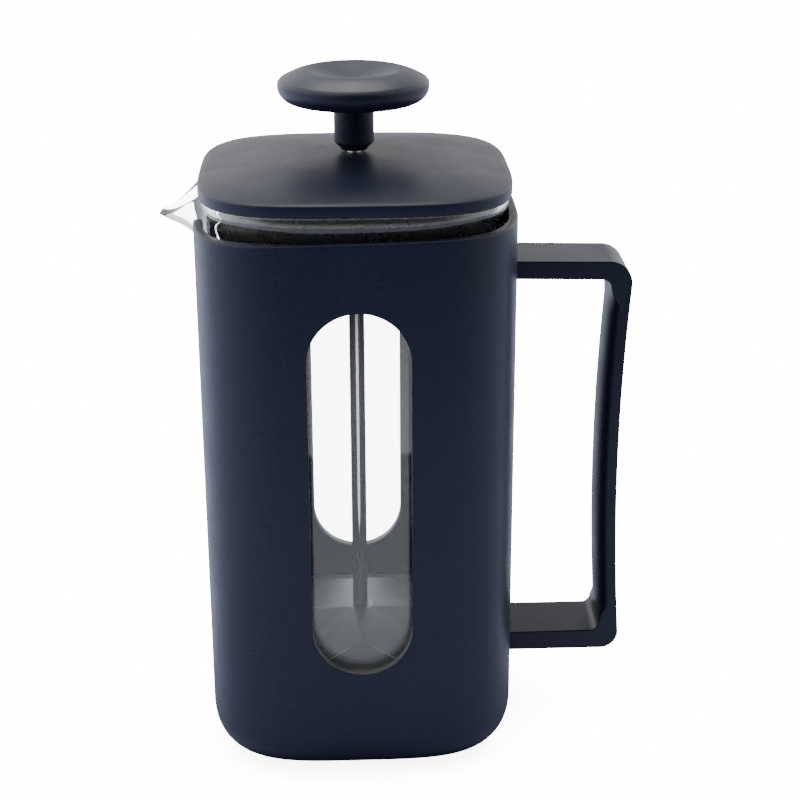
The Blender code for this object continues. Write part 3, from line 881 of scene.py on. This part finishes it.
def make_cover():
    bore = (ROD_RADIUS + 0.0004) / LID_HALF
    wall = 0.0022
    edge = 0.0006
    crest_end = 0.982
    under_start = 0.93
    profile = []
    steps = 26
    for k in range(steps + 1):
        share = bore + (crest_end - bore) * k / steps
        profile.append((LID_HALF * share, lid_height(share)))
    profile += arc(LID_HALF - edge, lid_height(1.0) - edge, edge, 70.0, 0.0, 5)
    skirt = [
        (LID_HALF, LID_EDGE_Z - 2.0 * edge),
        (LID_HALF, COVER_LOW.z),
        (LID_HALF - wall, COVER_LOW.z),
        (LID_HALF - wall, LID_EDGE_Z - wall),
    ]
    profile += rounded(skirt, 0.0004, 3, closed=False)
    steps = 12
    for k in range(steps + 1):
        share = under_start + (bore - under_start) * k / steps
        profile.append((LID_HALF * share, lid_height(share) - wall))
    cover = square_turned_piece("lid_dome", profile, LID_HALF, LID_POWER, 216, SOFT_PLASTIC)
    finish_piece(cover, "lid_body", "soft_plastic", "lid_cover")


def pour_slots(half):
    """Cutters for the row of upright slots on the spout's side."""
    slot_half = 0.0007
    slot_rise = 0.0015
    slot_round = 0.00065
    spacing = 0.0036
    depth = 0.004
    place = Matrix.Translation((-half, 0.0, SLOT_Z)) @ SIDEWAYS
    slots = []
    for k in range(-3, 4):
        across = spacing * k
        low = across - slot_half
        high = across + slot_half
        corners = [(low, -slot_rise), (high, -slot_rise), (high, slot_rise), (low, slot_rise)]
        slots.append(prism("slot", rounded(corners, slot_round), -depth, depth, place))
    return slots


def make_liner():
    half = LINER_HIGH.x
    top = LINER_HIGH.z
    shell = 0.0014
    inner = half - shell
    ledge = top - 0.0030
    bore = 0.0044
    corners = [
        (bore, top),
        (half * 0.5, top),
        (half, top),
        (half, ledge),
        (half, LINER_LOW.z),
        (inner, LINER_LOW.z),
        (inner, ledge),
        (inner, top - shell),
        (half * 0.5, top - shell),
        (bore, top - shell),
    ]
    profile = rounded(corners, [0.0002, 0.0, 0.0009, 0.0, 0.0005, 0.0005, 0.0, 0.0006, 0.0, 0.0002], 4)
    liner = square_turned_piece("lid_skirt", profile, half, GLASS_POWER, 240, LINER_PLASTIC)
    carve(liner, pour_slots(half))
    even_shading(liner)
    finish_piece(liner, "lid_body", "liner_plastic", "lid_liner")


def make_bushing():
    low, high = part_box("lid_bushing")
    inner = ROD_RADIUS + 0.0003
    neck = 0.0041
    flange = low[2] + 0.0015
    corners = [
        (inner, high[2]),
        (neck, high[2]),
        (neck, flange),
        (high[0], flange),
        (high[0], low[2]),
        (inner, low[2]),
    ]
    profile = rounded(corners, [0.0003, 0.0004, 0.0002, 0.0005, 0.0005, 0.0003], 3)
    bushing = turned_piece("rod_bushing", profile, LINER_PLASTIC)
    finish_piece(bushing, "lid_body", "liner_plastic", "lid_bushing")


# ---------------------------------------------------------------- plunger


def make_knob():
    top = KNOB_HIGH.z
    foot = KNOB_LOW.z
    middle = top - KNOB_RIM
    rim_middle = KNOB_RADIUS - KNOB_RIM
    edge = KNOB_RADIUS - 0.0008
    edge_z = top - 0.0029
    stem = 0.0063
    bore = 0.0040
    bore_top = 0.2110
    profile = [(0.0, top - KNOB_DISH)]
    steps = 20
    for k in range(1, steps):
        share = k / steps
        profile.append((KNOB_CREST * share, top - KNOB_DISH * (1.0 - share**2) ** 1.5))
    steps = 12
    for k in range(steps):
        share = k / steps
        height = top - (top - edge_z) * share**1.6
        profile.append((KNOB_CREST + (edge - KNOB_CREST) * share, height))
    arris = [(edge, edge_z), (KNOB_RADIUS - 0.0001, edge_z - 0.0009), (KNOB_RADIUS, middle)]
    profile += rounded(arris, [0.0007, 0.0004, 0.0], 5, closed=False)
    profile += arc(rim_middle, middle, KNOB_RIM, 0.0, -90.0, 18)[1:]
    corners = [
        (rim_middle - 0.004, middle - KNOB_RIM),
        (stem, middle - KNOB_RIM),
        (stem, foot + 0.0024),
        (bore + 0.0004, foot + 0.0005),
        (bore + 0.0002, foot),
        (bore, foot),
        (bore, bore_top),
    ]
    profile += rounded(corners, [0.0, 0.0012, 0.0010, 0.0002, 0.0, 0.0001, 0.0002], 4, closed=False)
    profile.append((0.0, bore_top))
    knob = turned_piece("knob_dished", profile, SOFT_PLASTIC, steps=128, closed=False)
    finish_piece(knob, "plunger_body", "soft_plastic", "knob")


def make_insert():
    low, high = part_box("knob_insert")
    inner = ROD_RADIUS + 0.0003
    outer = high[0]
    floor = outer - 0.0005
    middle = 0.5 * (low[2] + high[2])
    groove_half = 0.0006
    corners = [
        (inner, high[2]),
        (outer, high[2]),
        (outer, middle + groove_half),
        (floor, middle + groove_half),
        (floor, middle - groove_half),
        (outer, middle - groove_half),
        (outer, low[2]),
        (inner, low[2]),
    ]
    insert = turned_piece("knob_insert_turned", rounded(corners, 0.00015, 2), BRASS)
    finish_piece(insert, "plunger_body", "brass", "knob_insert")


def make_rod():
    """A plain rod with a fine thread below the plate."""
    thread = 0.0019
    root = thread - 0.0003
    pitch = 0.0007
    top = ROD_HIGH.z
    foot = ROD_LOW.z
    shoulder = DOME_HIGH.z + 0.0003
    corners = [
        (0.0005, top),
        (ROD_RADIUS, top),
        (ROD_RADIUS, shoulder),
        (thread, shoulder),
        (thread, shoulder - 0.0002),
    ]
    profile = [(0.0, top)]
    profile += rounded(corners, [0.0, 0.0005, 0.0002, 0.0, 0.0], 4, closed=False)
    height = shoulder - 0.0004
    while height > foot + 1.5 * pitch:
        profile += [(thread, height), (root, height - 0.5 * pitch)]
        height -= pitch
    profile += [(thread, height), (thread - 0.0004, foot), (0.0, foot)]
    rod = turned_piece("rod_polished", profile, POLISHED_STEEL, steps=64, closed=False)
    finish_piece(rod, "plunger_body", "polished_steel", "rod")


def make_dome():
    """The creased plate: four ridges from the hub, and a triangle at each side's middle."""
    hub_z = DOME_HIGH.z
    lip = 0.0005
    rim_z = DOME_LOW.z + DOME_SHEET + lip
    half = DOME_HIGH.x
    per_side = 10
    per_corner = 6
    block = per_side + per_corner
    gap = 0.5 * math.pi - 2.0 * DOME_CREASE
    angles = []
    for quarter in range(4):
        axis = quarter * 0.5 * math.pi
        angles += [axis - DOME_CREASE + 2.0 * DOME_CREASE * k / per_side for k in range(per_side)]
        angles += [axis + DOME_CREASE + gap * k / per_corner for k in range(per_corner)]
    count = len(angles)
    build = bmesh.new()

    def round_point(angle, reach):
        return reach * math.cos(angle), reach * math.sin(angle)

    def loop(point, reach, height, spread=angles):
        return [build.verts.new((*point(angle, reach), height)) for angle in spread]

    sides = [0.5 * math.pi * quarter for quarter in range(4)]
    bore = loop(round_point, PLATE_BORE, hub_z)
    collar = loop(round_point, DOME_HUB, hub_z)
    rim = loop(square_point, half - DOME_FLANGE, rim_z)
    flange = loop(square_point, half - 0.0004, rim_z - 0.0001)
    skirt = loop(square_point, half, rim_z - lip)
    tips = loop(round_point, DOME_TIP, hub_z - DOME_TIP_DROP, sides)

    for k in range(count):
        after = (k + 1) % count
        build.faces.new((bore[k], collar[k], collar[after], bore[after]))
        build.faces.new((rim[k], flange[k], flange[after], rim[after]))
        build.faces.new((flange[k], skirt[k], skirt[after], flange[after]))
    for quarter, tip in enumerate(tips):
        first = quarter * block
        last = first + per_side
        for k in range(first, last):
            build.faces.new((tip, rim[k], rim[k + 1]))
        build.faces.new((collar[first], rim[first], tip))
        build.faces.new((tip, rim[last], collar[last]))
        for k in range(first, last):
            build.faces.new((collar[k], tip, collar[k + 1]))
        for k in range(last, first + block):
            after = (k + 1) % count
            build.faces.new((collar[k], rim[k], rim[after], collar[after]))
    dome = new_object("creased_plate", build, CREASED_STEEL, sharp=4.0)
    add_wall(dome, DOME_SHEET)
    add_bevel(dome, 0.0003, 2, 3.0)
    apply_modifiers(dome)
    even_shading(dome)
    finish_piece(dome, "plunger_body", "brushed_steel", "dome_plate")


def make_seal():
    """A close-wound wire coil around the spring plate's edge."""
    wire = 0.00028
    middle = 0.5 * (SEAL_LOW.z + SEAL_HIGH.z)
    coil = 0.5 * (SEAL_HIGH.z - SEAL_LOW.z) - wire
    half = SEAL_HIGH.x - coil - wire
    per_turn = 9
    starts = ring_angles(260, GLASS_POWER)
    points = []
    for first, second in zip(starts, starts[1:] + [TAU]):
        for k in range(per_turn):
            share = k / per_turn
            x, y = superellipse(half, GLASS_POWER, first + (second - first) * share)
            length = math.hypot(x, y)
            out = coil * math.cos(TAU * share)
            height = middle + coil * math.sin(TAU * share)
            points.append((x + out * x / length, y + out * y / length, height, 1.0))
    path = bpy.data.curves.new("edge_coil", "CURVE")
    path.dimensions = "3D"
    path.bevel_depth = wire
    path.bevel_resolution = 1
    path.use_fill_caps = True
    path.materials.append(POLISHED_STEEL)
    spline = path.splines.new("POLY")
    spline.points.add(len(points) - 1)
    for point, place in zip(spline.points, points):
        point.co = place
    spline.use_cyclic_u = True
    seal = bpy.data.objects.new("edge_coil", path)
    bpy.context.scene.collection.objects.link(seal)
    finish_piece(seal, "plunger_body", "polished_steel", "seal_ring")


def make_mesh_filter():
    low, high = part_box("mesh_filter")
    half = high[0]
    hem = half - 0.001
    corners = [
        (PLATE_BORE, high[2]),
        (hem, high[2]),
        (half, high[2]),
        (half, low[2]),
        (hem, low[2]),
        (PLATE_BORE, low[2]),
    ]
    profile = rounded(corners, [0.0, 0.0, 0.0002, 0.0002, 0.0, 0.0], 2)
    cloth = square_turned_piece("filter_cloth", profile, half, GLASS_POWER, 144, WOVEN_STEEL)
    finish_piece(cloth, "plunger_body", "brushed_steel", "mesh_filter")


def hexagon_ring(radius, inset, height, steps):
    """A hexagon whose corners are cut back to a circle, inset from the corners' radius."""
    sixth = math.pi / 6.0
    ring = []
    for k in range(steps):
        angle = TAU * k / steps
        off_corner = abs((angle + sixth) % (2.0 * sixth) - sixth)
        flat = radius * math.cos(sixth) / math.cos(sixth - off_corner)
        reach = min(flat, radius - inset)
        ring.append(Vector((reach * math.cos(angle), reach * math.sin(angle), height)))
    return ring


def make_nut():
    low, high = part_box("base_nut")
    steps = 48
    chamfer = 0.0004
    inset = 0.0007
    sides = (
        (inset, low[2]),
        (0.0, low[2] + chamfer),
        (0.0, high[2] - chamfer),
        (inset, high[2]),
    )
    rings = [hexagon_ring(high[0], cut, height, steps) for cut, height in sides]
    rings += [round_ring(PLATE_BORE, height, steps) for height in (high[2], low[2])]
    build = bmesh.new()
    skin(build, rings, closed=True)
    nut = new_object("base_nut_hex", build, BRUSHED_STEEL, sharp=25.0)
    finish_piece(nut, "plunger_body", "brushed_steel", "base_nut")


def dress_cad_nodes():
    looks = {
        "handle_screw_upper": POLISHED_STEEL,
        "handle_screw_lower": POLISHED_STEEL,
        "hub_spacer": BRUSHED_STEEL,
        "spring_plate": BRUSHED_STEEL,
        "cross_plate": BRUSHED_STEEL,
    }
    for name, look in looks.items():
        for holder in bpy.data.objects[name].material_slots:
            holder.material = look


# ---------------------------------------------------------------- studio


SWEEP_WHITE = 22.0
SWEEP_SHADE = 7.0
SHEET_MIRRORED = 1.4
SHEET_DARK = 0.12
SHEET_TINT = (0.88, 0.94, 1.20)
SHEET_DROP = 0.0004
SHEET_END = (-0.60, -0.32)
SHEET_SIDE = (-0.45, -0.05)
SHEET_LEFT = 1.7
FLOOR_SIZE = 6.0
SHADE_END = 0.9


def plane(name, height, look):
    build = bmesh.new()
    bmesh.ops.create_grid(build, x_segments=1, y_segments=1, size=FLOOR_SIZE)
    mesh = bpy.data.meshes.new(name)
    build.to_mesh(mesh)
    build.free()
    mesh.materials.append(look)
    made = bpy.data.objects.new(name, mesh)
    made.location = (0.0, 0.0, height)
    bpy.context.scene.collection.objects.link(made)
    return made


def near_shade(g, low, high, distance, dark_at):
    """A strength that falls from high to low where the object stands close to the floor."""
    shade = g.node("ShaderNodeAmbientOcclusion", samples=8)
    shade.inputs["Distance"].default_value = distance
    return g.ramp(shade.outputs["AO"], dark_at, SHADE_END, low, high)


def sheet_fade(g):
    """The sheet's strength: dark far in front of the object, and higher at the left."""
    x, y = g.split()[:2]
    fade = g.ramp(y, *SHEET_END, SHEET_DARK, SHEET_MIRRORED, "SMOOTHSTEP")
    return g.math("MULTIPLY", fade, g.ramp(x, *SHEET_SIDE, SHEET_LEFT, 1.0))


def make_sweep():
    """What the eye sees of the floor: white, but only as bright as the sheet once mirrored inside."""
    look, g = material_graph("white_sweep")
    g.glow()
    path = g.node("ShaderNodeLightPath")
    bounces = g.math("ADD", path.outputs["Glossy Depth"], path.outputs["Diffuse Depth"])
    mirrored = g.math("GREATER_THAN", bounces, 0.5)
    direct = near_shade(g, SWEEP_SHADE, SWEEP_WHITE, distance=0.04, dark_at=0.2)
    g.set(Strength=g.mix(mirrored, direct, sheet_fade(g), "FLOAT"))
    sweep = plane("sweep", 0.0, look)
    sweep.visible_diffuse = False
    sweep.visible_glossy = False
    sweep.visible_shadow = False


def make_sheet():
    """What the object mirrors and is lit by: a pale sheet that ends a little in front of it."""
    look, g = material_graph("pale_sheet")
    g.glow()
    shade = near_shade(g, 0.0, 1.0, distance=0.25, dark_at=0.45)
    g.set(Color=SHEET_TINT, Strength=g.math("MULTIPLY", sheet_fade(g), shade))
    sheet = plane("sheet", -SHEET_DROP, look)
    sheet.visible_camera = False
    sheet.visible_transmission = False


WORLD_BASE = 0.078
WORLD_GREY = (0.8, 0.8, 0.8)
WORLD_LOBES = (
    ((0.0, 1.0, 0.10), 0.58, 0.97, 1.02),
    ((-1.0, 0.10, 0.10), 0.0, 0.96, 4.1),
    ((1.0, 0.20, 0.10), 0.15, 0.96, 2.7),
)


def make_world():
    """Soft daylight as broad lobes: behind, and at both sides; the eye itself sees plain white."""
    world = bpy.data.worlds.new("studio")
    bpy.context.scene.world = world
    g = Graph(world, "Generated")
    total = WORLD_BASE
    for direction, start, full, strength in WORLD_LOBES:
        facing = g.node("ShaderNodeVectorMath", operation="DOT_PRODUCT")
        g.link(g.place, facing.inputs[0])
        g.feed(facing.inputs[1], Vector(direction).normalized())
        lobe = g.ramp(facing.outputs["Value"], start, full, 0.0, strength, "SMOOTHSTEP")
        total = g.math("ADD", lobe, total)
    path = g.node("ShaderNodeLightPath")
    seen = g.mix(path.outputs["Is Camera Ray"], total, SWEEP_WHITE, "FLOAT")
    g.set(Color=WORLD_GREY, Strength=seen)


LAMP_TINT = (1.0, 1.0, 0.92)


def area_light(name, place, target, size, power):
    lamp = bpy.data.lights.new(name, "AREA")
    lamp.shape = "RECTANGLE"
    lamp.size = size
    lamp.size_y = size
    lamp.energy = power
    lamp.color = LAMP_TINT
    made = bpy.data.objects.new(name, lamp)
    made.location = place
    made.rotation_euler = (Vector(target) - Vector(place)).to_track_quat("-Z", "Y").to_euler()
    bpy.context.scene.collection.objects.link(made)
    return made


def link_lamp(lamp, names):
    """The group of pieces a lamp treats apart; the lamp itself isn't seen through the glass."""
    group = bpy.data.collections.new(lamp.name + "_group")
    for name in names:
        group.objects.link(bpy.data.objects[name])
    lamp.visible_transmission = False
    lamp.light_linking.receiver_collection = group
    return group


def keep_off(lamp, *names):
    """The lamp doesn't reach these pieces, which stand deep inside the press."""
    for member in link_lamp(lamp, names).collection_objects:
        member.light_linking.link_state = "EXCLUDE"


def keep_on(lamp, *names):
    """The lamp reaches these pieces alone."""
    link_lamp(lamp, names)


def make_lamps():
    """A soft panel above the press, and a smaller one for the dark knob alone."""
    overhead = area_light("overhead", (-0.05, 0.16, 0.85), (0.0, 0.05, 0.15), 0.5, power=4.7)
    keep_off(overhead, "creased_plate", "edge_coil", "filter_cloth", "base_nut_hex")
    crown = area_light("crown", (0.0, 0.13, 0.60), (0.0, 0.0, 0.22), 0.3, power=1.25)
    keep_on(crown, "knob_dished")


VIEW_YAW = math.radians(2.475)
VIEW_PITCH = math.radians(21.03)
VIEW_ROLL = -0.0023
VIEW_TARGET = Vector((0.0175, 0.0, 0.1140))
VIEW_DISTANCE = 0.5981
VIEW_LENS = 81.28
VIEW_SHIFT = -0.0131


def make_camera():
    lens = bpy.data.cameras.new("camera")
    lens.sensor_width = 36.0
    lens.lens = VIEW_LENS
    lens.shift_x = VIEW_SHIFT
    lens.clip_start = 0.01
    lens.clip_end = 100.0
    made = bpy.data.objects.new("camera", lens)
    turn = Matrix.Rotation(-VIEW_YAW, 4, "Z") @ Matrix.Rotation(math.radians(90.0) - VIEW_PITCH, 4, "X")
    back = turn @ Vector((0.0, 0.0, VIEW_DISTANCE))
    roll = Matrix.Rotation(VIEW_ROLL, 4, "Z")
    made.matrix_world = Matrix.Translation(VIEW_TARGET + back) @ turn @ roll
    bpy.context.scene.collection.objects.link(made)
    bpy.context.scene.camera = made


make_sleeve()
make_handle()
make_pads()
make_beaker()
make_cover()
make_liner()
make_bushing()
make_knob()
make_insert()
make_rod()
make_dome()
make_seal()
make_mesh_filter()
make_nut()
dress_cad_nodes()
make_sweep()
make_sheet()
make_world()
make_lamps()
make_camera()
